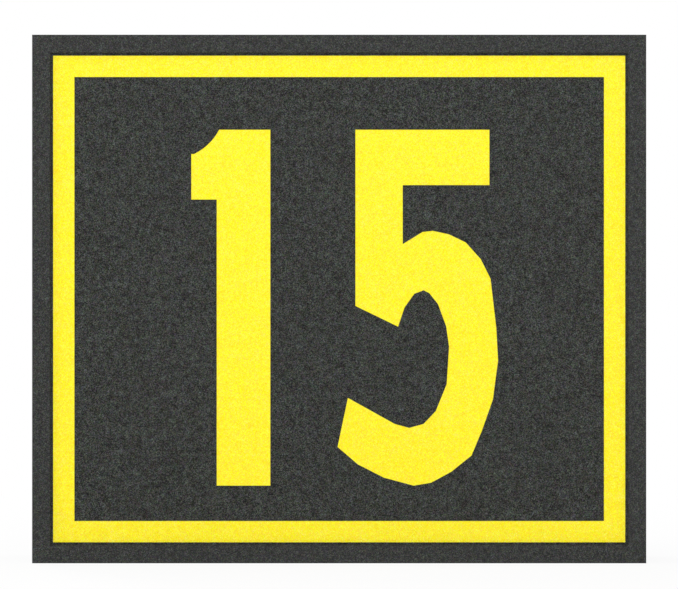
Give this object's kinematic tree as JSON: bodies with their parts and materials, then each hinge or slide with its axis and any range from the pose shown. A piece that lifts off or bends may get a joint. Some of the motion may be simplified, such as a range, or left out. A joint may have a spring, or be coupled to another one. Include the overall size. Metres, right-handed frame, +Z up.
{
  "type": "runway location sign",
  "caption": "Black and yellow runway location sign: an internally lit cabinet, one module wide, with a masked face, a screwed back and bolt holes for two legs.",
  "frame": {"origin": "centre of the sign's underside, half way along and half way through its depth", "axes": "+X to the right when the face is looked at, -Y out of the face, +Z up"},
  "size_m": [0.531, 0.16, 0.457],
  "materials": {
    "black_frame": "black powder coat, fine and matt",
    "black_film": "matt black film with a fine grain",
    "yellow_panel": "translucent yellow, satin",
    "black_rubber": "matt",
    "white_tray": "gloss white paint",
    "bare_aluminium": "mill finish",
    "stainless": "stainless",
    "board_laminate": "white solder resist",
    "clear_lens": "clear, polished",
    "supply_metal": "anodised",
    "black_plastic": "moulded, fine texture",
    "plated_brass": "plated",
    "lead_jacket": "matt",
    "rocker_plastic": "satin red"
  },
  "bodies": {
    "cabinet": {"frame_top": "black_frame", "frame_bottom": "black_frame", "frame_left": "black_frame", "frame_right": "black_frame", "corner_bracket_top_left": "bare_aluminium", "corner_bracket_top_right": "bare_aluminium", "corner_bracket_bottom_left": "bare_aluminium", "corner_bracket_bottom_right": "bare_aluminium", "frame_screws": "stainless", "face_panel": "yellow_panel", "face_mask": "black_film", "face_seal": "black_rubber", "reflector_tray": "white_tray", "tray_rail_left": "bare_aluminium", "tray_rail_right": "bare_aluminium", "tray_screws": "stainless", "tray_grommet": "black_rubber", "board_screws": "stainless", "supply_case": "supply_metal", "supply_cover": "supply_metal", "supply_screws": "stainless", "terminal_block": "black_plastic", "terminal_screws": "plated_brass", "lead_to_supply": "lead_jacket", "lead_to_boards": "lead_jacket", "lead_to_switch": "lead_jacket", "back_cover": "black_frame", "cover_gasket": "black_rubber", "cover_screws": "stainless", "breather_vent": "black_plastic", "breather_nut": "black_plastic", "leg_plate_left": "stainless", "leg_plate_right": "stainless", "leg_plate_screws": "stainless", "ground_stud": "plated_brass", "ground_nuts": "plated_brass", "gland_body": "black_plastic", "gland_locknut": "black_plastic", "gland_insert": "black_rubber", "gland_cap": "black_plastic", "blanking_plug": "black_plastic", "blanking_nut": "black_plastic", "switch_housing": "black_plastic", "switch_tabs": "plated_brass", "light_board_1": "board_laminate", "light_board_2": "board_laminate", "light_board_3": "board_laminate", "light_board_4": "board_laminate", "light_board_5": "board_laminate", "light_board_6": "board_laminate", "lens_strip_1": "clear_lens", "lens_strip_2": "clear_lens", "lens_strip_3": "clear_lens", "lens_strip_4": "clear_lens", "lens_strip_5": "clear_lens", "lens_strip_6": "clear_lens"},
    "rocker": {"switch_rocker": "rocker_plastic"}
  },
  "joints": [
    {"name": "rocker_tilt", "type": "hinge", "parent": "cabinet", "child": "rocker", "pos_m": [0.256, 0.01302, 0.11], "axis": [0, 1, 0], "range_deg": [-20, 0]}
  ]
}
